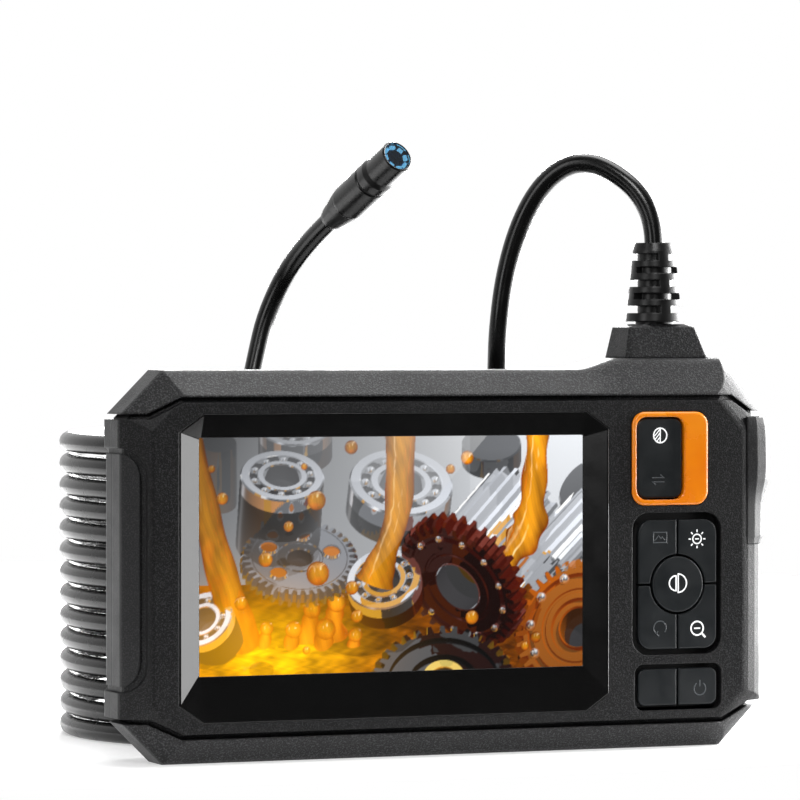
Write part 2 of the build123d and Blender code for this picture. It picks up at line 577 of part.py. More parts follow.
knuckle_r = FLAP_T / 2
with BuildPart() as port_cover:
    add(box_between((CASE_RIGHT - FLAP_T, FLAP_Y[0], FLAP_PIN_Z), (CASE_RIGHT, FLAP_Y[1], FLAP_Z[1])))
    fillet(port_cover.faces().sort_by(Axis.X)[-1].edges().filter_by(Axis.Y).sort_by(Axis.Z)[-1], 0.6)
    add(rod(FLAP_PIN_X, FLAP_PIN_Z, knuckle_r, FLAP_Y[0], FLAP_Y[1]))
    add(rod(FLAP_PIN_X, FLAP_PIN_Z, FLAP_PIN_R + 0.06, -FAR, FAR), mode=Mode.SUBTRACT)
save(port_cover.part, "port_cover")

# ---- Cable outlet ----
with BuildPart() as cable_collar:
    loft([
        polygon_at(Plane.XY.offset(z), cut_rectangle(*edges, COLLAR_CUT, COLLAR_CUT)) for z, edges in (
            (SHOULDER_Z, COLLAR_BASE), (COLLAR_TOP, COLLAR_RIM), (COLLAR_PEAK, COLLAR_LID),
        )
    ], ruled=True)
    add(outlet_hole.part, mode=Mode.SUBTRACT)
save(cable_collar.part, "cable_collar")

outlet_axis = Axis((OUTLET_X, OUTLET_Y, 0), (0, 0, 1))
with BuildPart() as slots:
    for heights, across_x in ((SIDE_SLOTS, True), (FRONT_SLOTS, False)):
        for low, high in heights:
            with BuildSketch(Plane.XY.offset(low)):
                with Locations((OUTLET_X, OUTLET_Y)):
                    Circle(2 * RELIEF_R_LOW)
                    Circle(RELIEF_CORE_R, mode=Mode.SUBTRACT)
                    bridge = (BRIDGE_W, 40) if across_x else (40, BRIDGE_W)
                    Rectangle(*bridge, mode=Mode.SUBTRACT)
            extrude(amount=high - low)
with BuildPart() as strain_relief:
    with BuildSketch(Plane(origin=(OUTLET_X, OUTLET_Y, 0), x_dir=(1, 0, 0), z_dir=(0, -1, 0))):
        with BuildLine():
            Polyline([
                (BORE_R, CEILING - FLANGE_T), (FLANGE_R, CEILING - FLANGE_T), (FLANGE_R, CEILING),
                (NECK_R, CEILING), (NECK_R, RELIEF_LOW), (RELIEF_R_LOW, RELIEF_LOW),
                (RELIEF_R_HIGH, RELIEF_TIP_START), (RELIEF_R_TIP, RELIEF_HIGH), (BORE_R, RELIEF_HIGH),
            ], close=True)
        make_face()
    revolve(axis=outlet_axis)
    add(slots.part, mode=Mode.SUBTRACT)
save(strain_relief.part, "strain_relief")

CONNECTOR_TOP = 66.0
with BuildPart() as cable_tail:
    with BuildSketch(Plane.XY.offset(CONNECTOR_TOP)):
        with Locations((OUTLET_X, OUTLET_Y)):
            Circle(CABLE_R)
    extrude(amount=RELIEF_HIGH - CONNECTOR_TOP)
save(cable_tail.part, "cable_tail")

with BuildPart() as board_connector:
    add(box_between((OUTLET_X - 5, BOARD_BACK, 60.0), (OUTLET_X + 5, 3.4, CONNECTOR_TOP)))
save(board_connector.part, "board_connector")

clamp_places = [(OUTLET_X - 5.5, 72.5), (OUTLET_X + 5.5, 72.5)]
with BuildPart() as cable_clamp:
    add(box_between((OUTLET_X - 8, 1.2, 70.0), (OUTLET_X + 8, 5.6, 75.0)))
    with BuildSketch(Plane.XY.offset(69.0)):
        with Locations((OUTLET_X, OUTLET_Y)):
            Circle(BORE_R)
    extrude(amount=8, mode=Mode.SUBTRACT)
    for x, z in clamp_places:
        add(rod(x, z, PILOT_R, -FAR, FAR), mode=Mode.SUBTRACT)
save(cable_clamp.part, "cable_clamp")

with BuildPart() as clamp_standoffs:
    for x, z in clamp_places:
        add(rod(x, z, 2.2, BOARD_BACK, 1.2))
        add(rod(x, z, PILOT_R, -4.0, FAR), mode=Mode.SUBTRACT)
save(clamp_standoffs.part, "clamp_standoffs")

with BuildPart() as clamp_screws:
    for x, z in clamp_places:
        add(rod(x, z, SHANK_R, -3.8, 5.6))
        add(rod(x, z, 2.0, 5.6, 7.0))
save(clamp_screws.part, "clamp_screws")

# ---- Cable ----
save(tube(ARCH_ROUTE), "cable_arch")
save(tube(LEAD_ROUTE), "cable_lead")

with BuildPart() as cable_coil:
    with BuildSketch(Plane.XY):
        with Locations((COIL_X, COIL_Y)):
            Circle(COIL_R + CABLE_R)
            Circle(COIL_R - CABLE_R, mode=Mode.SUBTRACT)
    extrude(amount=COIL_TOP)
save(cable_coil.part, "cable_coil")

# ---- Camera head ----
save(head_part([
    (0, 0), (0, 2.75), (1.2, 3.1), (TAIL_LENGTH, SLEEVE_R - 0.1), (TAIL_LENGTH, 0),
]), "head_tail")
save(head_part([
    (TAIL_LENGTH, SHELL_BORE_R), (TAIL_LENGTH, SLEEVE_R - 0.1), (TAIL_LENGTH + 0.6, SLEEVE_R),
    (SLEEVE_END - 0.3, SLEEVE_R), (SLEEVE_END, 4.3), (SLEEVE_END, SHELL_BORE_R),
]), "head_sleeve")
save(head_part([
    (SLEEVE_END, SHELL_BORE_R), (SLEEVE_END, 4.2), (BARREL_START, 4.2), (BARREL_START, SHELL_BORE_R),
]), "head_o_ring")
save(head_part([
    (BARREL_START, SHELL_BORE_R), (BARREL_START, 4.3), (BARREL_START + 0.3, SLEEVE_R), (22.0, SLEEVE_R),
    (BARREL_FULL, BARREL_R), (HEAD_LENGTH - 0.3, BARREL_R), (HEAD_LENGTH, 3.75), (HEAD_LENGTH, WINDOW_SEAT_R),
    (30.0, WINDOW_SEAT_R), (30.0, SHELL_BORE_R),
]), "head_barrel")
save(head_part([(30.2, 0), (30.2, 3.5), (30.8, 3.5), (30.8, 0)]), "head_window")
with BuildPart() as head_leds:
    with BuildSketch(Plane(origin=HEAD_TAIL + HEAD_DIR * 29.4, x_dir=HEAD_SIDE, z_dir=HEAD_DIR)):
        with PolarLocations(LED_CIRCLE_R, LED_COUNT):
            Rectangle(0.75, 1.25)
    extrude(amount=0.75)
save(head_leds.part, "head_leds")
save(head_part([(28.8, 2.1), (28.8, 3.4), (29.4, 3.4), (29.4, 2.1)]), "led_board")
save(head_part([(29.2, 0), (29.2, 1.9), (30.1, 1.9), (30.1, 0)]), "head_lens")
save(head_part([(24.0, 0), (24.0, 2.0), (29.2, 2.0), (29.2, 0)]), "lens_holder")
save(head_part([(22.8, 0), (22.8, 3.2), (24.0, 3.2), (24.0, 0)]), "sensor_board")
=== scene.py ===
import json
from math import cos, pi, radians, sin

import bpy
import numpy as np
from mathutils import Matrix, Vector
from mathutils.bvhtree import BVHTree


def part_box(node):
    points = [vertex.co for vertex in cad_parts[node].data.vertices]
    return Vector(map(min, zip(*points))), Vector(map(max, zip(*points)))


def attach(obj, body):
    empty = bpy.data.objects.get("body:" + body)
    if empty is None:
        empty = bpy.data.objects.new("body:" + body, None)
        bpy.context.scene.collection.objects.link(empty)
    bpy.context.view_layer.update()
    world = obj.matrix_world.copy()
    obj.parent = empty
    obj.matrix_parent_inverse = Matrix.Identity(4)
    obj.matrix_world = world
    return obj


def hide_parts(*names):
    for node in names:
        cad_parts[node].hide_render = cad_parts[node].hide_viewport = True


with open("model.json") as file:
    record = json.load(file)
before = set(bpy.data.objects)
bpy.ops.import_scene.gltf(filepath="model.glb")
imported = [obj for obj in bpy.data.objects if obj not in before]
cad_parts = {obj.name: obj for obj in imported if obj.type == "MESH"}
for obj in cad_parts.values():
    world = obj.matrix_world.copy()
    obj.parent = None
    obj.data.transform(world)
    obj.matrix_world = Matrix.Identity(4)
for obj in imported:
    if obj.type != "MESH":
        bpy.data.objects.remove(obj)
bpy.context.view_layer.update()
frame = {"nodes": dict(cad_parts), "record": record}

MM = 0.001
NODES = frame["nodes"]


# ---- Camera ----
LENS_MM, SENSOR_MM = 207.0, 36.0
CAMERA_PLACE, LOOK = (-0.4178, -0.9837, 0.0947), (0.3827, 0.9238, -0.0120)


def make_camera():
    data = bpy.data.cameras.new("photo_camera")
    data.lens, data.sensor_width = LENS_MM, SENSOR_MM
    data.clip_start, data.clip_end = 0.05, 20.0
    camera = bpy.data.objects.new("photo_camera", data)
    camera.location = CAMERA_PLACE
    camera.rotation_euler = Vector(LOOK).to_track_quat("-Z", "Y").to_euler()
    bpy.context.scene.collection.objects.link(camera)
    bpy.context.scene.camera = camera


# ---- Material building blocks ----
def rgb(code):
    """Scene-linear colour of a display colour written as six hex digits."""
    parts = [int(code[i:i + 2], 16) / 255 for i in (0, 2, 4)]
    return tuple(p / 12.92 if p <= 0.04045 else ((p + 0.055) / 1.055) ** 2.4 for p in parts) + (1.0,)


NOISE_ROUGHNESS = 0.55
NOISE_BAND = (0.3, 0.7)      # where most of a noise's values lie
SPECK_BAND = (0.5, 0.64)     # the upper values, which make specks
EDGE_SAMPLES = 8
CLOUD_MM, SMEAR_MM, WEAR_MM, SKIN_MM, BRUSH_MM = 14.0, 9.0, 5.0, 0.6, 0.35
SKIN_DEPTH_MM = 0.004
EDGE_GRAINED_MM, EDGE_SMOOTH_MM = 0.4, 0.3
GLASS_ROUGHNESS, GLASS_IOR = 0.02, 1.45


class Finish:
    """A Principled material with procedural colour, roughness and surface relief."""

    def __init__(self, name, colour, roughness, **sockets):
        self.material = bpy.data.materials.new(name)
        self.material.use_nodes = True
        self.tree = self.material.node_tree
        self.shader = next(n for n in self.tree.nodes if n.type == "BSDF_PRINCIPLED")
        self.shader.inputs["Base Color"].default_value = rgb(colour)
        self.shader.inputs["Roughness"].default_value = roughness
        for key, value in sockets.items():
            self.shader.inputs[key.replace("_", " ")].default_value = value
        self.normal = None

    def node(self, kind, **inputs):
        made = self.tree.nodes.new(kind)
        for key, value in inputs.items():
            made.inputs[key.replace("_", " ")].default_value = value
        return made

    def link(self, source, target):
        self.tree.links.new(source, target)

    def noise(self, size_mm, detail, stretch=(1, 1, 1)):
        """Noise whose features are about size_mm across, fixed in the part's own space."""
        place = self.tree.nodes.new("ShaderNodeTexCoord")
        scaled = self.node("ShaderNodeMapping", Scale=tuple(1 / (size_mm * MM * s) for s in stretch))
        self.link(place.outputs["Object"], scaled.inputs["Vector"])
        noise = self.node("ShaderNodeTexNoise", Scale=1.0, Detail=detail, Roughness=NOISE_ROUGHNESS)
        self.link(scaled.outputs["Vector"], noise.inputs["Vector"])
        return noise.outputs["Fac"]

    def spread(self, value, low, high, out_low=0.0, out_high=1.0):
        ramp = self.node("ShaderNodeMapRange")
        self.link(value, ramp.inputs["Value"])
        for key, number in (("From Min", low), ("From Max", high), ("To Min", out_low), ("To Max", out_high)):
            ramp.inputs[key].default_value = number
        return ramp.outputs["Result"]

    def colours(self, value, dark, light):
        """Blends the base colour from dark to light with a value between 0 and 1."""
        blend = self.tree.nodes.new("ShaderNodeMix")
        blend.data_type = "RGBA"
        self.link(value, blend.inputs["Factor"])
        blend.inputs[6].default_value, blend.inputs[7].default_value = rgb(dark), rgb(light)
        self.link(blend.outputs[2], self.shader.inputs["Base Color"])

    def rough(self, value, low, high):
        self.link(self.spread(value, *NOISE_BAND, low, high), self.shader.inputs["Roughness"])

    def rounded(self, radius_mm):
        """Light catches the edges as if they were rounded by radius_mm."""
        edge = self.node("ShaderNodeBevel", Radius=radius_mm * MM)
        edge.samples = EDGE_SAMPLES
        self.normal = edge.outputs["Normal"]
        return self

    def relief(self, value, depth_mm):
        bump = self.node("ShaderNodeBump", Strength=1.0, Distance=depth_mm * MM)
        self.link(value, bump.inputs["Height"])
        if self.normal:
            self.link(self.normal, bump.inputs["Normal"])
        self.normal = bump.outputs["Normal"]
        self.link(self.normal, self.shader.inputs["Normal"])


def grained(name, dark, light, roughness, grain_mm, depth_mm, edge_mm=EDGE_GRAINED_MM, **sockets):
    """Moulded plastic or rubber with a spark-eroded grain and faint lighter specks."""
    finish = Finish(name, dark, roughness, **sockets).rounded(edge_mm)
    grain = finish.noise(grain_mm, 3.0)
    finish.colours(finish.spread(grain, *SPECK_BAND), dark, light)
    finish.rough(finish.noise(SMEAR_MM, 3.0), roughness * 0.9, roughness * 1.1)
    finish.relief(grain, depth_mm)
    return finish.material


def smooth_plastic(name, dark, light, roughness, edge_mm=EDGE_SMOOTH_MM, **sockets):
    """Smooth moulded plastic with faint clouds of colour and wear."""
    finish = Finish(name, dark, roughness, **sockets).rounded(edge_mm)
    finish.colours(finish.spread(finish.noise(CLOUD_MM, 3.0), *NOISE_BAND), dark, light)
    finish.rough(finish.noise(WEAR_MM, 4.0), roughness * 0.8, roughness * 1.25)
    finish.relief(finish.noise(SKIN_MM, 2.0), SKIN_DEPTH_MM)
    return finish.material


def metal(name, dark, light, roughness, stretch=(1, 1, 1)):
    """Metal, brushed where stretch draws the noise out along an axis."""
    finish = Finish(name, dark, roughness, Metallic=1.0)
    streaks = finish.noise(BRUSH_MM, 3.0, stretch)
    finish.colours(finish.spread(streaks, *NOISE_BAND), dark, light)
    finish.rough(streaks, roughness * 0.75, roughness * 1.3)
    finish.relief(streaks, SKIN_DEPTH_MM)
    return finish.material


def glowing(name, code, strength):
    finish = Finish(name, code, 0.4)
    finish.shader.inputs["Emission Color"].default_value = rgb(code)
    finish.shader.inputs["Emission Strength"].default_value = strength
    return finish.material


def clear(name, tint, roughness=GLASS_ROUGHNESS):
    return Finish(name, tint, roughness, Transmission_Weight=1.0, IOR=GLASS_IOR).material


SLOT_FINISHES = {
    "shell_fine": grained("shell_fine", "060607", "2b2b2c", 0.48, 0.3, 0.09, Specular_IOR_Level=0.24),
    "bumper_rubber": grained(
        "bumper_rubber", "09090a", "3c3c3e", 0.48, 0.4, 0.13, 0.9, Specular_IOR_Level=0.34
    ),
    "grip_rubber": grained("grip_rubber", "0f0f10", "2a2a2c", 0.5, 0.28, 0.05, 0.6, Specular_IOR_Level=0.35),
    "bezel_gloss": smooth_plastic("bezel_gloss", "060606", "080808", 0.14, 0.25, Specular_IOR_Level=0.5),
    "display_glass": clear("display_glass", "ffffff"),
    "foam": grained("foam", "101010", "242424", 0.85, 0.4, 0.1),
    "panel_metal": metal("panel_metal", "8d8f92", "b9bbbe", 0.32, (1, 30, 1)),
    "trim_orange": smooth_plastic(
        "trim_orange", "f07a00", "fb9206", 0.26, 0.9, Coat_Weight=0.4, Coat_Roughness=0.08
    ),
    "key_plastic": smooth_plastic("key_plastic", "15181a", "1b1e20", 0.4, 0.35, Specular_IOR_Level=0.3),
    "keypad_rubber": grained("keypad_rubber", "050505", "0b0b0b", 0.7, 0.4, 0.04),
    "switch_body": smooth_plastic("switch_body", "1a1a1a", "2a2a2a", 0.45),
    "board_green": smooth_plastic("board_green", "0d3a22", "14502f", 0.35),
    "battery_wrap": smooth_plastic("battery_wrap", "1f4f86", "2b66a3", 0.3),
    "socket_steel": metal("socket_steel", "a5a7aa", "d0d2d4", 0.24),
    "flap_rubber": grained("flap_rubber", "161617", "2c2c2e", 0.62, 0.3, 0.04),
    "pin_steel": metal("pin_steel", "9a9c9f", "c8cacc", 0.22),
    "relief_rubber": smooth_plastic("relief_rubber", "070707", "0c0c0c", 0.34, 0.35, Specular_IOR_Level=0.4),
    "cable_jacket": smooth_plastic("cable_jacket", "040404", "080808", 0.24, 0.1, Specular_IOR_Level=0.45),
    "connector_plastic": smooth_plastic("connector_plastic", "d8d4c8", "e6e2d8", 0.4),
    "clamp_steel": metal("clamp_steel", "8d8f92", "b9bbbe", 0.3, (20, 1, 1)),
    "screw_steel": metal("screw_steel", "3a3b3d", "5a5b5e", 0.3),
    "head_metal": smooth_plastic("head_metal", "050505", "0a0a0a", 0.26, 0.2, Specular_IOR_Level=0.5),
    "o_ring_rubber": smooth_plastic("o_ring_rubber", "050505", "0a0a0a", 0.5),
    "lens_glass": clear("lens_glass", "5f8fb0", 0.03),
    "led_white": glowing("led_white", "dff6f4", 1.4),
    "led_board": smooth_plastic("led_board", "2c4d68", "345a78", 0.4),
    "lens_black": smooth_plastic("lens_black", "1d3a5c", "24466c", 0.2),
}
node_slots = {}
for entry in frame["record"]["materials"]:
    for node in entry.get("nodes", []):
        node_slots[node] = entry["slot"]
for name, node in NODES.items():
    slot = node_slots.get(name) or node.material_slots[0].material.name.split(".")[0]
    for place in node.material_slots:
        place.material = SLOT_FINISHES[slot]


# ---- Cable: one spline through the arch, the coil and the lead ----
CABLE_D = 4.7
COIL_CENTRE, COIL_R, COIL_PITCH = (-12.6, 69.6), 52.3, 5.3
COIL_START, COIL_END_TURN, COIL_FLAT_TURN = -22.5, 13.896, 13.5
POINTS_PER_TURN = 16
ARCH_ROUTE = [
    (55.3, 0.8, 118.8), (55.2, 0.9, 124.0), (52.4, 3.4, 131.0), (48.1, 7.2, 135.6), (43.7, 11.1, 138.2),
    (38.9, 15.4, 137.6), (34.1, 19.7, 132.6), (30.3, 23.1, 123.8), (27.6, 25.6, 111.8), (26.3, 26.8, 98.5),
    (27.2, 29.6, 87.5), (30.0, 36.2, 79.6), (32.7, 42.6, 74.9),
]
LEAD_ROUTE = [
    (29.9, 36.4, 2.35), (36.8, 61.0, 4.5), (29.1, 86.5, 9.0), (10.9, 101.9, 15.5),
    (-11.4, 104.6, 24.0), (-30.2, 93.9, 34.5), (-36.5, 76.5, 47.5), (-31.0, 66.0, 61.5), (-24.8, 64.6, 76.0),
    (-20.7, 67.2, 90.5), (-17.2, 68.3, 103.2), (-12.0, 61.6, 117.2), (-8.6, 47.7, 124.8),
]


def coil_points():
    """The wound turns, from the top of the coil down to the floor."""
    radius = COIL_R / cos(pi / POINTS_PER_TURN)
    count = round(COIL_END_TURN * POINTS_PER_TURN)
    floor = CABLE_D / 2
    points = []
    for step in range(count + 1):
        turn = COIL_END_TURN * step / count
        angle = radians(COIL_START) + 2 * pi * turn
        height = floor + COIL_PITCH * max(COIL_FLAT_TURN - turn, 0.0)
        points.append((COIL_CENTRE[0] + radius * cos(angle), COIL_CENTRE[1] + radius * sin(angle), height))
    return points


def make_cable():
    curve = bpy.data.curves.new("cable", "CURVE")
    curve.dimensions = "3D"
    curve.bevel_depth = CABLE_D / 2 * MM
    curve.bevel_resolution = 6
    curve.resolution_u = 6
    curve.use_fill_caps = True
    points = ARCH_ROUTE + coil_points() + LEAD_ROUTE
    spline = curve.splines.new("NURBS")
    spline.points.add(len(points) - 1)
    for point, place in zip(spline.points, points):
        point.co = tuple(value * MM for value in place) + (1.0,)
    spline.order_u = 3
    spline.use_endpoint_u = True
    spline.use_smooth = True
    cable = bpy.data.objects.new("cable", curve)
    bpy.context.scene.collection.objects.link(cable)
    curve.materials.append(SLOT_FINISHES["cable_jacket"])
    return cable


cable = make_cable()
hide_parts("cable_arch", "cable_coil", "cable_lead")
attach(cable, "handset")


# ---- The picture on the display: a small ray-traced scene of bearings, gears and oil ----
# Its own space: x to the right and z up from the picture's lower left corner, y into the display, in mm.
PICTURE_W, PICTURE_H = 95.9, 54.7


def mix(a, b, t):
    return a + (b - a) * t


TINY = 1e-9
TOOTH_CHAMFER, CHAMFER_SLOPE = 0.06, 0.7
LEVEL = np.eye(3)    # no turn


class Soup:
    """Triangles with a normal at each corner, each of one kind of surface."""

    def __init__(self):
        self.corners, self.normals, self.kinds = [], [], []

    def quads(self, points, normals, kind, turn, centre):
        """points and normals are (count, 4, 3) arrays in the item's own space, with its axis along z."""
        points = points @ turn.T + centre
        normals = normals @ turn.T
        for pick in ([0, 1, 2], [0, 2, 3]):
            self.corners.append(points[:, pick])
            self.normals.append(normals[:, pick])
            self.kinds.append(np.full(len(points), kind))


def facing_turn(axis):
    """The rotation that takes z to this axis."""
    return np.array(Vector(axis).to_track_quat("Z", "Y").to_matrix())


def lathe(soup, profile, kind, turn, centre, segments=72):
    """Turns (radius, height) pairs about z; each straight run of the profile has its own normal."""
    angles = np.linspace(0, 2 * pi, segments + 1)
    ring = np.stack([np.cos(angles), np.sin(angles), np.zeros_like(angles)], 1)
    up = np.array([0.0, 0.0, 1.0])
    for (r0, h0), (r1, h1) in zip(profile, profile[1:]):
        length = max(np.hypot(r1 - r0, h1 - h0), TINY)
        slope = ring * (h1 - h0) / length - up * (r1 - r0) / length
        low, high = ring * r0 + up * h0, ring * r1 + up * h1
        points = np.stack([low[:-1], low[1:], high[1:], high[:-1]], 1)
        soup.quads(points, np.stack([slope[:-1], slope[1:], slope[1:], slope[:-1]], 1), kind, turn, centre)


def toothed_rim(soup, root, tip, teeth, depth, kind, turn, centre, inner=None):
    """Teeth between z = 0 (front) and z = -depth, with chamfered front corners."""
    step = 2 * pi / teeth
    outline = []
    for tooth in range(teeth):
        for share, radius in ((0.0, root), (0.22, root), (0.36, tip), (0.64, tip), (0.78, root)):
            outline.append(((tooth + share) * step, radius))
    outline.append((2 * pi, root))
    angle = np.array([a for a, _ in outline])
    radius = np.array([r for _, r in outline])

    def ring(size, height):
        return np.stack([size * np.cos(angle), size * np.sin(angle), np.full_like(angle, height)], 1)

    chamfer = TOOTH_CHAMFER * tip
    face_size = radius * (1 - CHAMFER_SLOPE * TOOTH_CHAMFER)
    rings = [ring(face_size, 0.0), ring(radius, -chamfer), ring(radius, -depth)]
    if inner:
        rings.insert(0, ring(inner, 0.0))
    for front, back in zip(rings, rings[1:]):
        points = np.stack([front[:-1], front[1:], back[1:], back[:-1]], 1)
        normal = np.cross(points[:, 1] - points[:, 0], points[:, 3] - points[:, 0])
        normal /= np.maximum(np.linalg.norm(normal, axis=1, keepdims=True), TINY)
        middle = points.mean(1)
        outward = np.sum(normal * (middle + np.array([0, 0, depth])), 1) < 0
        normal[outward] *= -1
        soup.quads(points, np.repeat(normal[:, None], 4, 1), kind, turn, centre)


def patches(grid):
    """The four corners of each cell of a grid of points."""
    return np.stack([grid[:-1, :-1], grid[:-1, 1:], grid[1:, 1:], grid[1:, :-1]], 2).reshape(-1, 4, 3)


def ball(soup, place, radius, kind, turn=LEVEL, centre=(0, 0, 0), segments=14):
    """A ball at place, in the space of the item that it belongs to."""
    angles = np.linspace(0, 2 * pi, segments + 1)
    tilts = np.linspace(-pi / 2, pi / 2, segments // 2 + 1)
    grid = np.stack([
        np.outer(np.cos(tilts), np.cos(angles)), np.outer(np.cos(tilts), np.sin(angles)),
        np.outer(np.sin(tilts), np.ones_like(angles)),
    ], -1)
    quad = patches(grid)
    soup.quads(quad * radius + np.array(place), quad, kind, turn, np.array(centre))


def strand(soup, path, kind, sides=20, steps=60, ripple=0.0):
    """A stream of oil: path holds (x, y, z, radius) points that it runs through smoothly."""
    path = np.array(path, float)
    at = np.linspace(0, len(path) - 1, steps)
    smooth = np.stack([np.interp(at, np.arange(len(path)), path[:, k]) for k in range(4)], 1)
    for _ in range(4 * steps // len(path)):
        smooth[1:-1] = (smooth[:-2] + 2 * smooth[1:-1] + smooth[2:]) / 4
    along = np.gradient(smooth[:, :3], axis=0)
    along /= np.linalg.norm(along, axis=1, keepdims=True)
    side = np.cross(along, [0.0, 1.0, 0.0])
    side /= np.linalg.norm(side, axis=1, keepdims=True)
    other = np.cross(along, side)
    angles = np.linspace(0, 2 * pi, sides + 1)
    out = side[:, None] * np.cos(angles)[None, :, None] + other[:, None] * np.sin(angles)[None, :, None]
    wave = 1 + ripple * np.sin(at * 5.1)[:, None] * np.sin(2 * angles + 1.3)[None]
    grid = smooth[:, None, :3] + out * (smooth[:, 3][:, None] * wave)[..., None]
    soup.quads(patches(grid), patches(out), kind, LEVEL, np.zeros(3))


STEEL, DARK, BROWN, COPPER, BLACK, GOLD, OIL, POOL, GREY_GEAR, BORE = range(10)
GEAR_ROOT, GEAR_FACE = 0.88, 0.93


def bearing(soup, centre, radius, axis, rolling, body, body_kind=DARK):
    """A ball bearing that faces along its axis, on a round body of length body."""
    turn, centre = facing_turn(axis), np.array(centre, float)
    r, t = radius, radius * 0.16
    outer = [
        (r * 0.78, -3 * t), (r * 0.78, -0.1 * t), (r * 0.8, 0), (r * 0.97, 0), (r, -0.25 * t), (r, -2.2 * t),
    ]
    inner = [
        (r * 0.44, -3 * t), (r * 0.44, -0.2 * t), (r * 0.46, 0), (r * 0.58, 0), (r * 0.6, -0.2 * t),
        (r * 0.6, -3 * t),
    ]
    lathe(soup, outer, STEEL, turn, centre)
    lathe(soup, inner, STEEL, turn, centre)
    lathe(soup, [(r * 0.6, -0.9 * t), (r * 0.78, -0.9 * t)], BORE, turn, centre)
    lathe(soup, [(0, -2.6 * t), (r * 0.44, -2.6 * t)], BORE, turn, centre)
    for k in range(rolling):
        a = 2 * pi * (k + 0.3) / rolling
        place = (r * 0.69 * cos(a), r * 0.69 * sin(a), -0.55 * t)
        ball(soup, place, r * 0.1, STEEL, turn, centre)
    lathe(soup, [(r, -2.2 * t), (r, -body)], body_kind, turn, centre)


def gear(soup, centre, radius, axis, teeth, depth, kind, rings, hub, holes=0):
    """A gear with grooves between the shares in rings, a bore of share hub, and copper-lined holes."""
    turn, centre = facing_turn(axis), np.array(centre, float)
    root = radius * GEAR_ROOT
    profile = [(radius * hub, -depth), (radius * hub, -0.03 * radius), (radius * (hub + 0.02), 0.0)]
    for low, high, sink in rings:
        profile += [(radius * low, 0.0), (radius * (low + 0.015), -sink), (radius * (high - 0.015), -sink),
                    (radius * high, 0.0)]
    profile.append((root * GEAR_FACE, 0.0))
    lathe(soup, profile, kind, turn, centre, 96)
    toothed_rim(soup, root, radius, teeth, depth, kind, turn, centre, inner=root * GEAR_FACE)
    lathe(soup, [(0, -depth * 0.9), (radius * hub, -depth * 0.9)], BORE, turn, centre)
    for k in range(holes):
        a = 2 * pi * (k + 0.15) / holes
        rim = centre + turn @ np.array((radius * 0.56 * cos(a), radius * 0.56 * sin(a), 0.05))
        lathe(soup, [(radius * 0.17, 0.0), (radius * 0.145, 0.04 * radius)], STEEL, turn, rim, 32)
        lathe(soup, [(0, 0.02), (radius * 0.15, 0.02)], COPPER, turn, rim, 32)


# Streams run through (x, y, z, radius) points, with a ripple; splashes and drops are (x, z, radius).
STREAMS = [
    ([(-3.5, 2, 60, 3.4), (0.4, 2, 46, 3.1), (3.4, 3, 33, 3.4), (6.6, 8, 22, 3.7), (9.6, 14, 12.5, 4.2),
      (10.4, 18, 7, 6.0)], 0.05),
    ([(49.8, 6, 60, 3.6), (49.7, 6, 45, 3.6), (49.3, 5, 37, 3.4), (47.4, 3, 31, 2.4), (44.8, 2, 25, 3.6),
      (43.4, 3, 21, 4.8)], 0.04),
    ([(84.5, 2, 60, 2.9), (84.0, 2, 50, 2.9), (82.8, 2, 39, 3.0), (82.6, 2, 34, 4.6), (80.0, 1, 29.5, 4.2),
      (76.4, 0, 25.5, 2.2), (76.2, 0, 21, 0.8)], 0.14),
]
SPLASHES = [
    (28.0, 15.0, 2.1), (34.0, 16.5, 2.3), (31.3, 10.5, 2.5), (23.5, 10.5, 2.0), (38.6, 9.0, 1.7),
    (17.0, 11.0, 1.6),
]
DROPS = [
    (37.6, 51.8, 1.6), (66.4, 49.2, 1.6), (62.2, 46.6, 1.15), (29.1, 39.8, 2.25), (6.3, 40.5, 1.4),
    (3.7, 47.2, 0.9), (26.1, 47.5, 0.8), (22.3, 34.0, 1.2), (16.7, 26.6, 1.7), (29.4, 23.2, 2.8),
    (37.8, 19.8, 1.6), (39.0, 13.3, 1.45), (10.8, 16.8, 1.6), (67.6, 12.4, 1.6), (83.7, 7.4, 1.3),
    (26.6, 5.8, 0.9), (81.0, 5.5, 1.1),
]
POOL_CORNERS = [(-10.0, 3.0, -3.0), (110.0, 3.0, -3.0), (110.0, 30.0, 21.0), (-10.0, 30.0, 21.0)]
POOL_NORMAL = (0.0, -0.53, 0.85)


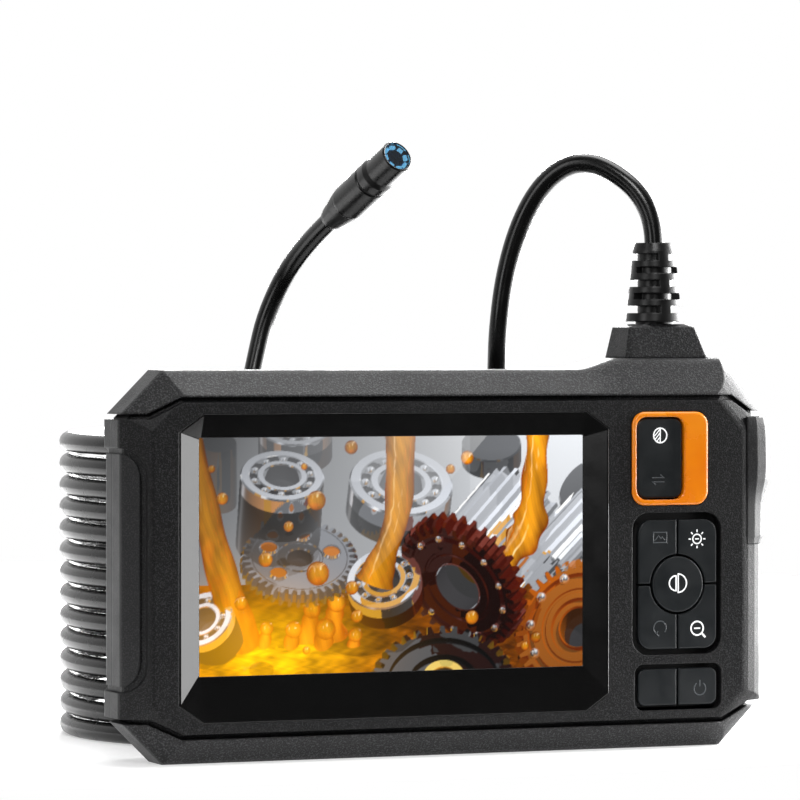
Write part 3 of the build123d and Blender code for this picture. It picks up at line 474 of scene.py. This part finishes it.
def picture_scene():
    """Everything that the picture shows, as triangles."""
    soup = Soup()
    # Left and middle: pale bearings and a grey gear, behind the glare
    bearing(soup, (20.8, 20, 45.6), 10.2, (0.06, -0.56, 0.83), 10, body=19)
    bearing(soup, (50.0, 26, 43.8), 12.9, (0.1, -0.58, 0.81), 11, body=9)
    bearing(soup, (24, 40, 57), 9.0, (0, -0.5, 0.86), 10, body=8)
    gear(
        soup, (25, 14, 27), 14.4, (0.05, -0.62, 0.78), 40, 3.2, GREY_GEAR,
        [(0.34, 0.4, 0.3), (0.8, 0.84, 0.3)], hub=0.22, holes=5,
    )
    bearing(soup, (45.6, 7, 21.8), 9.3, (-0.12, -0.74, 0.66), 10, body=7, body_kind=BROWN)
    bearing(soup, (1.6, 8, 13.5), 7.4, (-0.35, -0.75, 0.56), 9, body=9)
    lathe(soup, [(4.2, 0), (4.2, -16)], BLACK, facing_turn((0, -0.5, 0.86)), np.array([5.5, 34, 53.0]), 18)
    # Right: machined parts at the back
    cap = [(0, 0), (7.2, 0), (7.5, -0.4), (7.5, -5)]
    lathe(soup, cap, DARK, facing_turn((0, -0.55, 0.83)), np.array([72.5, 34, 52.5]))
    block = [(0, 0), (9.5, 0), (10, -0.6), (10, -14)]
    lathe(soup, block, BLACK, facing_turn((-0.3, -0.7, 0.65)), np.array([99.0, 24, 42.0]))
    toothed_rim(soup, 7.6, 9.0, 18, 40, STEEL, facing_turn((-0.6, -0.55, -0.58)), np.array([86.0, 15, 21.5]))
    # The brown gear on its splined shaft
    axis = np.array([-0.53, -0.64, -0.56])
    middle = np.array([64.0, 6.0, 19.4])
    gear(soup, middle, 17.6, axis, 34, 5.0, BROWN, [(0.5, 0.56, 0.4), (0.72, 0.8, 1.0)], hub=0.36)
    turn = facing_turn(axis)
    for k in range(12):
        a = 2 * pi * k / 12
        ball(soup, (13.4 * cos(a), 13.4 * sin(a), -0.3), 1.0, STEEL, turn, middle)
    toothed_rim(soup, 10.4, 12.4, 22, 26, STEEL, turn, middle - 5.0 * axis)
    lathe(soup, [(6.3, 0), (6.3, -14)], STEEL, turn, middle)
    # The copper gear and the black one in front
    axis, middle = (-0.22, -0.92, 0.32), (94.5, 3, 9.6)
    copper_grooves = [(0.3, 0.42, 1.2), (0.5, 0.56, 0.4), (0.7, 0.78, 1.4)]
    gear(soup, middle, 17.0, axis, 36, 6, COPPER, copper_grooves, hub=0.28)
    for k in range(11):
        a = 2 * pi * (k + 0.4) / 11
        ball(soup, (12.6 * cos(a), 12.6 * sin(a), -0.2), 1.3, STEEL, facing_turn(axis), middle)
    axis, middle = (0.02, -0.74, 0.67), (60.5, -4, -2.6)
    gear(soup, middle, 18.6, axis, 34, 6, BLACK, [(0.34, 0.48, 1.2), (0.66, 0.76, 1.0)], hub=0.2)
    collar = [(2.6, 0), (3.2, 2.2), (5.2, 2.2), (5.8, 0)]
    lathe(soup, collar, GOLD, facing_turn(axis), np.array(middle))
    # Oil: the pool, three streams, splashes and drops
    for stream, ripple in STREAMS:
        strand(soup, stream, OIL, ripple=ripple)
    for x, z, size in SPLASHES:
        ball(soup, (x, 13, z), size, OIL, segments=24)
        stem = [
            (x - 1.8, 18, z - 8, size * 2.2), (x - 0.7, 15, z - 4, size * 0.9), (x, 13, z, size * 0.7),
            (x, 13, z, 0.1),
        ]
        strand(soup, stem, OIL, 18, 26, 0.2)
    for x, z, size in DROPS:
        ball(soup, (x, -12, z), size, OIL, segments=20)
    soup.quads(np.array([POOL_CORNERS]), np.tile(POOL_NORMAL, (1, 4, 1)), POOL, LEVEL, np.zeros(3))
    return soup


WAVE_SIZES, WAVE_SUM = (9.0, 5.3, 3.1, 1.9, 1.2), 2.4


def ripples(x, z, seed):
    """Smooth waves from a sum of sines, about -1 to 1, different for each seed."""
    total = np.zeros_like(x)
    for k, size in enumerate(WAVE_SIZES):
        turn = 1.3 * k + seed
        across = x * cos(turn) + z * sin(turn)
        bend = 2.1 * np.sin(z * 2 * pi / (size * 1.7) + turn)
        total += np.sin(across * 2 * pi / size + bend) / (1.0 + 0.6 * k)
    return total / WAVE_SUM


WARM_LIGHT, COOL_LIGHT = (0.85, 0.36, 0.04), (0.97, 0.99, 1.03)


def surroundings(direction):
    """What the parts mirror: a grey room with two bright windows above and warm oil below."""
    x, y, z = direction.T
    level = 0.10 + 0.75 * np.clip(z, 0, 1) ** 1.4
    level += 1.5 * np.exp(-(((x - 0.45) / 0.16) ** 2 + ((z - 0.55) / 0.35) ** 2))
    level += 1.1 * np.exp(-(((x + 0.62) / 0.12) ** 2 + ((z - 0.25) / 0.5) ** 2))
    warm = np.clip(-z, 0, 1)[:, None] * np.array(WARM_LIGHT)
    return level[:, None] * np.array(COOL_LIGHT) + warm


# Colour, share of matte light and share of mirrored light of each kind of surface
TINTS = np.array([
    (0.62, 0.63, 0.65), (0.045, 0.047, 0.052), (0.24, 0.030, 0.006), (0.78, 0.27, 0.025), (0.02, 0.02, 0.022),
    (0.95, 0.55, 0.16), (1.0, 0.52, 0.04), (1.0, 0.55, 0.03), (0.28, 0.29, 0.31), (0.05, 0.045, 0.05),
])
MATTE = np.array([0.22, 0.75, 0.55, 0.55, 0.6, 0.3, 0.4, 0.6, 0.4, 0.8])
MIRROR = np.array([1.0, 0.10, 0.22, 0.32, 0.18, 0.9, 0.35, 0.25, 0.75, 0.12])
LIGHT_FROM = np.array([0.42, -0.62, 0.66])
CAST_FROM, CAST_OFF = -40.0, 0.05
SHADOW_REACH, SHADOW_SHARE, MIRROR_REACH = 45.0, 0.25, 60.0
AMBER_THIN, AMBER_THICK = (0.36, 0.10, 0.003), (0.58, 0.36, 0.03)
POOL_DIM, POOL_BRIGHT = (0.60, 0.20, 0.004), (0.55, 0.50, 0.01)
ROOM_TINT, HAZE_TINT = (0.98, 1.0, 1.03), (0.55, 0.57, 0.60)
GLARE_SHARE, GLARE_LEVEL, WHITEST = 0.36, 0.86, 1.15


def spanned(a, b):
    """The area of the parallelogram between each pair of edges."""
    return np.linalg.norm(np.cross(a, b), axis=1)


def trace_picture(columns, rows):
    """The picture's scene-linear colours, one for each grid point, row by row from the bottom."""
    soup = picture_scene()
    corners, normals = np.concatenate(soup.corners), np.concatenate(soup.normals)
    kinds = np.concatenate(soup.kinds)
    faces = np.arange(len(corners) * 3).reshape(-1, 3)
    tree = BVHTree.FromPolygons(corners.reshape(-1, 3).tolist(), faces.tolist(), all_triangles=True)
    xs, zs = np.meshgrid(np.linspace(0, PICTURE_W, columns), np.linspace(0, PICTURE_H, rows))
    xs, zs = xs.ravel(), zs.ravel()
    ahead = Vector((0, 1, 0))
    hit_face = np.full(len(xs), -1)
    hit_place = np.stack([xs, np.full_like(xs, 99.0), zs], 1)
    for i, (x, z) in enumerate(zip(xs.tolist(), zs.tolist())):
        place, _, face, _ = tree.ray_cast(Vector((x, CAST_FROM, z)), ahead)
        if face is not None:
            hit_face[i] = face
            hit_place[i] = place
    seen = hit_face >= 0
    face = hit_face[seen]
    place = hit_place[seen]
    a, b, c = corners[face, 0], corners[face, 1], corners[face, 2]
    weights = np.stack([spanned(b - place, c - place), spanned(c - place, a - place),
                        spanned(a - place, b - place)], 1)
    weights /= np.maximum(spanned(b - a, c - a), TINY)[:, None]
    normal = np.einsum("ij,ijk->ik", weights, normals[face])
    kind = kinds[face]
    wet = (kind == OIL) | (kind == POOL)
    flow = np.where(kind == POOL, 1.5, 0.25)
    wobble = np.stack([ripples(place[:, 0] * 0.8, place[:, 2] * flow, s) for s in (0.0, 2.0, 4.0)], 1)
    normal += wobble * np.where(wet, np.where(kind == POOL, 0.30, 0.22), 0.02)[:, None]
    normal /= np.maximum(np.linalg.norm(normal, axis=1, keepdims=True), TINY)
    normal[normal[:, 1] > 0] *= -1
    bounce = np.array([0.0, 1.0, 0.0]) - 2 * normal[:, 1:2] * normal
    light = LIGHT_FROM / np.linalg.norm(LIGHT_FROM)
    lit = np.clip(normal @ light, 0, 1)
    mirrored = surroundings(bounce)
    for i, (start, away, out) in enumerate(zip(place.tolist(), bounce.tolist(), normal.tolist())):
        origin = Vector(start) + CAST_OFF * Vector(out)
        if kind[i] != OIL and tree.ray_cast(origin, Vector(light.tolist()), SHADOW_REACH)[2] is not None:
            lit[i] *= SHADOW_SHARE
        struck = tree.ray_cast(origin, Vector(away), MIRROR_REACH)[2]
        if struck is not None:
            mirrored[i] = 0.75 * TINTS[kinds[struck]] + 0.02
    fresnel = 0.06 + 0.94 * (1 + normal[:, 1]) ** 4
    tint = TINTS[kind]
    shine = MIRROR[kind][:, None]
    metallic = (shine > 0.5) | (kind == BROWN)[:, None] | (kind == COPPER)[:, None]
    tinted = np.clip(tint * 1.5, 0, 1) * shine + 0.05
    gloss = mirrored * np.where(metallic, tinted, shine + fresnel[:, None] * 0.8)
    colour = tint * MATTE[kind][:, None] * (0.18 + 1.1 * lit[:, None]) + gloss
    # Oil glows where it is thick and lets less through at its edges
    thick = np.clip(-normal[:, 1], 0, 1)[:, None]
    streak = (0.5 + 0.5 * ripples(place[:, 0] * 1.6 + 0.5 * place[:, 2], place[:, 2] * 0.18, 1.0))[:, None]
    amber = np.array(AMBER_THIN) + thick ** 1.5 * np.array(AMBER_THICK)
    amber = amber * (0.62 + 0.7 * streak) + 0.6 * np.clip(mirrored - 0.55, 0, 2) * np.array([1.0, 0.93, 0.7])
    colour = np.where((kind == OIL)[:, None], amber, colour)
    pool_glow = np.exp(-(((place[:, 0] - 19) / 20) ** 2 + ((place[:, 2] - 6) / 9) ** 2))[:, None]
    pool = np.array(POOL_DIM) + pool_glow * np.array(POOL_BRIGHT)
    pool = pool * (0.8 + 0.45 * wobble[:, 0:1]) + 0.35 * np.clip(mirrored - 0.75, 0, 2)
    pool *= 0.35 + 0.65 * np.clip(lit / 0.55, 0, 1)[:, None]
    colour = np.where((kind == POOL)[:, None], pool, colour)
    # Background: a pale, soft room
    across, up = xs / PICTURE_W, zs / PICTURE_H
    pale = 0.20 + 0.62 * np.clip(across * 1.25 + 0.1, 0, 1) + 0.06 * np.sin(across * 9)
    picture = pale[:, None] * np.array(ROOM_TINT)
    picture[seen] = colour
    # Distance haze on the left, and the glare's straight edge
    haze = np.clip((hit_place[:, 1] - 16) / 40, 0, 0.4)[:, None] * np.where(across < 0.7, 1.0, 0.5)[:, None]
    haze[seen] *= np.where(kind == POOL, 0.0, 1.0)[:, None]
    picture = picture * (1 - haze) + haze * np.array(HAZE_TINT)
    edge = (across - 0.44) * 1.75 - (up - 0.40) * 0.9
    veil = np.clip((up - 0.30) * 1.4, 0, 1) * np.clip(0.25 + across, 0, 1)
    glare = GLARE_SHARE * np.where(edge < 0, veil, 0)[:, None]
    picture = picture * (1 - glare) + glare * GLARE_LEVEL
    return np.clip(picture, 0, WHITEST)


COLUMNS, ROWS = 416, 237
SHEET_GAP = 0.05 * MM
GRADE_LOWER, GRADE_UPPER, GRADE_CONTRAST = (1.15, 0.6), (0.28, 1.35), 1.3    # left and right
GLOW, GLOW_PLACE, GLOW_SIZE = (0.55, 0.25, 0.0), (0.16, 0.12), (0.22, 0.24)


def grade(colours):
    """Darkens the upper left and the lower right corner, and adds a warm glow at the lower left."""
    across, up = np.meshgrid(np.linspace(0, 1, COLUMNS), np.linspace(0, 1, ROWS))
    across, up = across.reshape(-1, 1), up.reshape(-1, 1)
    level = mix(mix(*GRADE_LOWER, across), mix(*GRADE_UPPER, across), up)
    glow_across = (across - GLOW_PLACE[0]) / GLOW_SIZE[0]
    glow_up = (up - GLOW_PLACE[1]) / GLOW_SIZE[1]
    return colours ** GRADE_CONTRAST * level + np.exp(-glow_across ** 2 - glow_up ** 2) * np.array(GLOW)


def make_picture():
    """A flat sheet behind the display glass whose points carry the traced colours as light."""
    fine = 2
    colours = trace_picture(COLUMNS * fine, ROWS * fine)
    colours = grade(colours.reshape(ROWS, fine, COLUMNS, fine, 3).mean((1, 3)).reshape(-1, 3))
    low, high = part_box("display_glass")
    centre_x, centre_z = (low.x + high.x) / 2, (low.z + high.z) / 2
    xs, zs = np.meshgrid(
        centre_x + (np.linspace(0, PICTURE_W, COLUMNS) - PICTURE_W / 2) * MM,
        centre_z + (np.linspace(0, PICTURE_H, ROWS) - PICTURE_H / 2) * MM,
    )
    points = np.stack([xs.ravel(), np.full(xs.size, high.y + SHEET_GAP), zs.ravel()], 1)
    index = np.arange(ROWS * COLUMNS).reshape(ROWS, COLUMNS)
    faces = np.stack([index[:-1, :-1], index[:-1, 1:], index[1:, 1:], index[1:, :-1]], -1).reshape(-1, 4)
    mesh = bpy.data.meshes.new("display_picture")
    mesh.from_pydata(points.tolist(), [], faces.tolist())
    layer = mesh.color_attributes.new("picture", "FLOAT_COLOR", "POINT")
    layer.data.foreach_set("color", np.concatenate([colours, np.ones((len(colours), 1))], 1).ravel())
    finish = Finish("display_picture", "000000", 0.5, Specular_IOR_Level=0.0, Emission_Strength=1.0)
    source = finish.tree.nodes.new("ShaderNodeVertexColor")
    source.layer_name = "picture"
    finish.link(source.outputs["Color"], finish.shader.inputs["Emission Color"])
    mesh.materials.append(finish.material)
    sheet = bpy.data.objects.new("display_picture", mesh)
    bpy.context.scene.collection.objects.link(sheet)
    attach(sheet, "handset")


make_picture()


# ---- Key icons: thin raised strokes on the key faces ----
# White icon strokes; their faint white emission is a painted glow that keeps them bright on the dark keys
ICON_WHITE_PAINTED_GLOW = smooth_plastic(
    "icon_white_painted_glow", "e9ebec", "f6f7f7", 0.4, 0.05, Emission_Color=rgb("ffffff"), Emission_Strength=0.3
)
ICON_FAINT = smooth_plastic("icon_faint", "3a3f43", "42474b", 0.45)


ICON_RISE = 0.03 * MM
SHARPEST = 0.4    # keeps a mitre from growing at a sharp corner


def arc(radius, start, end, count=36, centre=(0.0, 0.0)):
    return [
        (centre[0] + radius * cos(radians(mix(start, end, k / count))),
         centre[1] + radius * sin(radians(mix(start, end, k / count)))) for k in range(count + 1)
    ]


def stroke_rows(points, width, closed):
    """The left and right edge points of a stroke, mitred at its corners."""
    points = [Vector(p) for p in points]
    rows = []
    for i, point in enumerate(points):
        before = points[i - 1] if closed or i else None
        after = points[(i + 1) % len(points)] if closed or i + 1 < len(points) else None
        pairs = [(before, point), (point, after)]
        runs = [(b - a).normalized() for a, b in pairs if a is not None and b is not None]
        along = sum(runs, Vector((0, 0))).normalized()
        across = Vector((-along.y, along.x))
        reach = width / 2 / max(across.dot(Vector((-runs[0].y, runs[0].x))), SHARPEST)
        rows.append((point + across * reach, point - across * reach))
    return rows


def make_icon(name, strokes, place, key, material):
    """Strokes are (points, width, closed), in mm from the icon's centre at place (x, z) on the key's face."""
    low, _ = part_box(key)
    front, back = low.y - ICON_RISE, low.y + ICON_RISE
    vertices, faces = [], []
    for points, width, closed in strokes:
        rows = stroke_rows(points, width, closed)
        start = len(vertices)
        for left, right in rows:
            for side in (left, right):
                x, z = (place[0] + side.x) * MM, (place[1] + side.y) * MM
                vertices += [(x, front, z), (x, back, z)]
        last = len(rows) if closed else len(rows) - 1
        for i in range(last):
            a, b = start + 4 * i, start + 4 * ((i + 1) % len(rows))
            faces += [(a, a + 2, b + 2, b), (a + 1, b + 1, b + 3, a + 3), (a, b, b + 1, a + 1),
                      (a + 2, a + 3, b + 3, b + 2)]
        if not closed:
            end = start + 4 * last
            faces += [(start, start + 1, start + 3, start + 2), (end, end + 2, end + 3, end + 1)]
    mesh = bpy.data.meshes.new(name)
    mesh.from_pydata(vertices, [], faces)
    mesh.materials.append(material)
    icon = bpy.data.objects.new(name, mesh)
    bpy.context.scene.collection.objects.link(icon)
    bpy.context.view_layer.update()
    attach(icon, key)


def spoke(angle, inner, outer):
    return [(r * cos(radians(angle)), r * sin(radians(angle))) for r in (inner, outer)]


BOLD, LINE, FINE, HAIR = 0.38, 0.34, 0.3, 0.26
# Name, key, centre (x, z) on the key, material, and strokes as (points, width, closed)
ICONS = [
    ("icon_split_view", "function_key", (50.4, 73.5), ICON_WHITE_PAINTED_GLOW, [
        (arc(1.7, 0, 350, 35), LINE, True), ([(0, 1.6), (0, -1.6)], FINE, False),
        ([(-1.45, -0.15), (-0.15, 1.35)], HAIR, False), ([(-1.35, -0.95), (-0.15, 0.45)], HAIR, False),
        ([(-0.85, -1.35), (-0.15, -0.5)], HAIR, False),
    ]),
    ("icon_swap", "function_key", (49.9, 63.1), ICON_FAINT, [
        ([(-1.6, 0.5), (1.4, 0.5), (0.6, 1.2)], FINE, False),
        ([(1.6, -0.5), (-1.4, -0.5), (-0.6, -1.2)], FINE, False),
    ]),
    ("icon_brightness", "brightness_key", (60.15, 49.1), ICON_WHITE_PAINTED_GLOW, [
        (arc(1.1, 0, 350, 35), 0.32, True), ([(-0.5, 0), (0.5, 0)], FINE, False),
    ] + [(spoke(angle, 1.6, 2.2), 0.32, False) for angle in range(0, 360, 45)]),
    ("icon_zoom_out", "zoom_key", (60.4, 27.9), ICON_WHITE_PAINTED_GLOW, [
        (arc(1.6, 0, 350, 35, (-0.2, 0.2)), BOLD, True), ([(-1.0, 0.2), (0.6, 0.2)], 0.36, False),
        ([(0.93, -0.93), (1.95, -1.95)], 0.46, False),
    ]),
    ("icon_flip", "center_key", (54.9, 38.8), ICON_WHITE_PAINTED_GLOW, [
        (arc(1.75, 90, 270, 24, (-0.3, 0.0)), LINE, True), (arc(2.15, -90, 90, 24, (0.25, 0.0)), LINE, True),
    ]),
    ("icon_gallery", "upper_left_key", (50.5, 49.6), ICON_FAINT, [
        ([(-1.7, -1.2), (1.7, -1.2), (1.7, 1.2), (-1.7, 1.2)], 0.28, True),
        ([(-1.3, -0.7), (-0.4, 0.4), (0.2, -0.3), (0.6, 0.1), (1.3, -0.7)], 0.24, False),
    ]),
    ("icon_turn", "lower_left_key", (50.5, 28.4), ICON_FAINT, [
        (arc(1.6, -40, 240), FINE, False), ([(-0.2, -1.9), (-0.85, -1.4), (-0.5, -0.7)], 0.28, False),
    ]),
    ("icon_power", "power_key", (60.9, 13.9), ICON_FAINT, [
        (arc(1.5, 125, 415), FINE, False), ([(0, 0.5), (0, 2.0)], FINE, False),
    ]),
]
for name, key, place, material, strokes in ICONS:
    make_icon(name, strokes, place, key, material)


# ---- The trim ring's edges, rounded ----
WELD_MM, FLAT_ANGLE, EDGE_ANGLE = 0.002, 0.8, 28.0


def round_edges(node, width_mm, segments):
    weld = node.modifiers.new("weld", "WELD")
    weld.merge_threshold = WELD_MM * MM
    flat = node.modifiers.new("flat", "DECIMATE")
    flat.decimate_type = "DISSOLVE"
    flat.angle_limit = radians(FLAT_ANGLE)
    bevel = node.modifiers.new("bevel", "BEVEL")
    bevel.width = width_mm * MM
    bevel.segments = segments
    bevel.limit_method = "ANGLE"
    bevel.angle_limit = radians(EDGE_ANGLE)


round_edges(NODES["function_trim_ring"], 0.7, 4)


# ---- Studio ----
AIM = (0, 0, 0.06)
# Name, place, width and height in metres, power in watts
LIGHTS = [
    ("right_front", (1.30, -0.66, 0.05), (0.5, 0.8), 8.5),
    ("right_back", (1.05, 0.85, 0.45), (0.6, 1.1), 26),
    ("right_rim", (0.62, 1.35, 0.4), (0.5, 1.0), 34),
    ("right_side", (1.35, 0.15, 0.25), (0.8, 1.0), 55),
    ("left_front", (-1.36, -0.5, 0.45), (0.45, 1.0), 4.5),
    ("behind_camera", (-0.72, -1.85, 0.5), (0.4, 0.9), 2.5),
    ("high_front", (-0.5, -1.4, 1.1), (0.5, 0.4), 12),
    ("top", (0.3, 0.15, 1.5), (1.5, 0.9), 24),
]
DIM_TOWARDS = (-0.35, -0.94, 0.0)
ROOM_DIMMING = (("From Min", -0.45), ("From Max", 0.4), ("To Min", 0.95), ("To Max", 0.08))
FLOOR_R, FLOOR_CENTRE, FLOOR_CLOUD_MM = 0.51, (0, 0.45, 0), 300.0


def area_light(name, place, size, power):
    data = bpy.data.lights.new(name, "AREA")
    data.shape = "RECTANGLE"
    data.size, data.size_y = size
    data.energy = power
    light = bpy.data.objects.new(name, data)
    light.location = place
    light.rotation_euler = (Vector(AIM) - Vector(place)).to_track_quat("-Z", "Y").to_euler()
    bpy.context.scene.collection.objects.link(light)


def make_world():
    """A white room, dim in front of the display so that its faces stay dark; the camera sees plain white."""
    world = bpy.data.worlds.new("studio")
    world.use_nodes = True
    tree = world.node_tree
    back = tree.nodes["Background"]
    place = tree.nodes.new("ShaderNodeTexCoord")
    facing_front = tree.nodes.new("ShaderNodeVectorMath")
    facing_front.operation = "DOT_PRODUCT"
    facing_front.inputs[1].default_value = DIM_TOWARDS
    tree.links.new(place.outputs["Generated"], facing_front.inputs[0])
    dim = tree.nodes.new("ShaderNodeMapRange")
    for key, number in ROOM_DIMMING:
        dim.inputs[key].default_value = number
    tree.links.new(facing_front.outputs["Value"], dim.inputs["Value"])
    path = tree.nodes.new("ShaderNodeLightPath")
    shown = tree.nodes.new("ShaderNodeMath")
    shown.operation = "MAXIMUM"
    tree.links.new(dim.outputs["Result"], shown.inputs[0])
    tree.links.new(path.outputs["Is Camera Ray"], shown.inputs[1])
    tree.links.new(shown.outputs["Value"], back.inputs["Strength"])
    back.inputs["Color"].default_value = (1, 1, 1, 1)
    bpy.context.scene.world = world


def make_studio():
    """Lights, a room and a small floor, which ends in front so that the bezel's slopes don't mirror it."""
    bpy.context.scene.view_settings.view_transform = "Standard"
    make_world()
    bpy.ops.mesh.primitive_circle_add(vertices=128, radius=FLOOR_R, fill_type="NGON", location=FLOOR_CENTRE)
    floor = bpy.context.active_object
    floor.name = "floor"
    ground = Finish("floor", "d8d8d8", 0.7, Specular_IOR_Level=0.2, Emission_Strength=0.45)
    ground.shader.inputs["Emission Color"].default_value = (1, 1, 1, 1)
    ground.colours(ground.spread(ground.noise(FLOOR_CLOUD_MM, 2.0), *NOISE_BAND), "d6d6d6", "dadada")
    floor.data.materials.append(ground.material)
    for light in LIGHTS:
        area_light(*light)


make_camera()
make_studio()
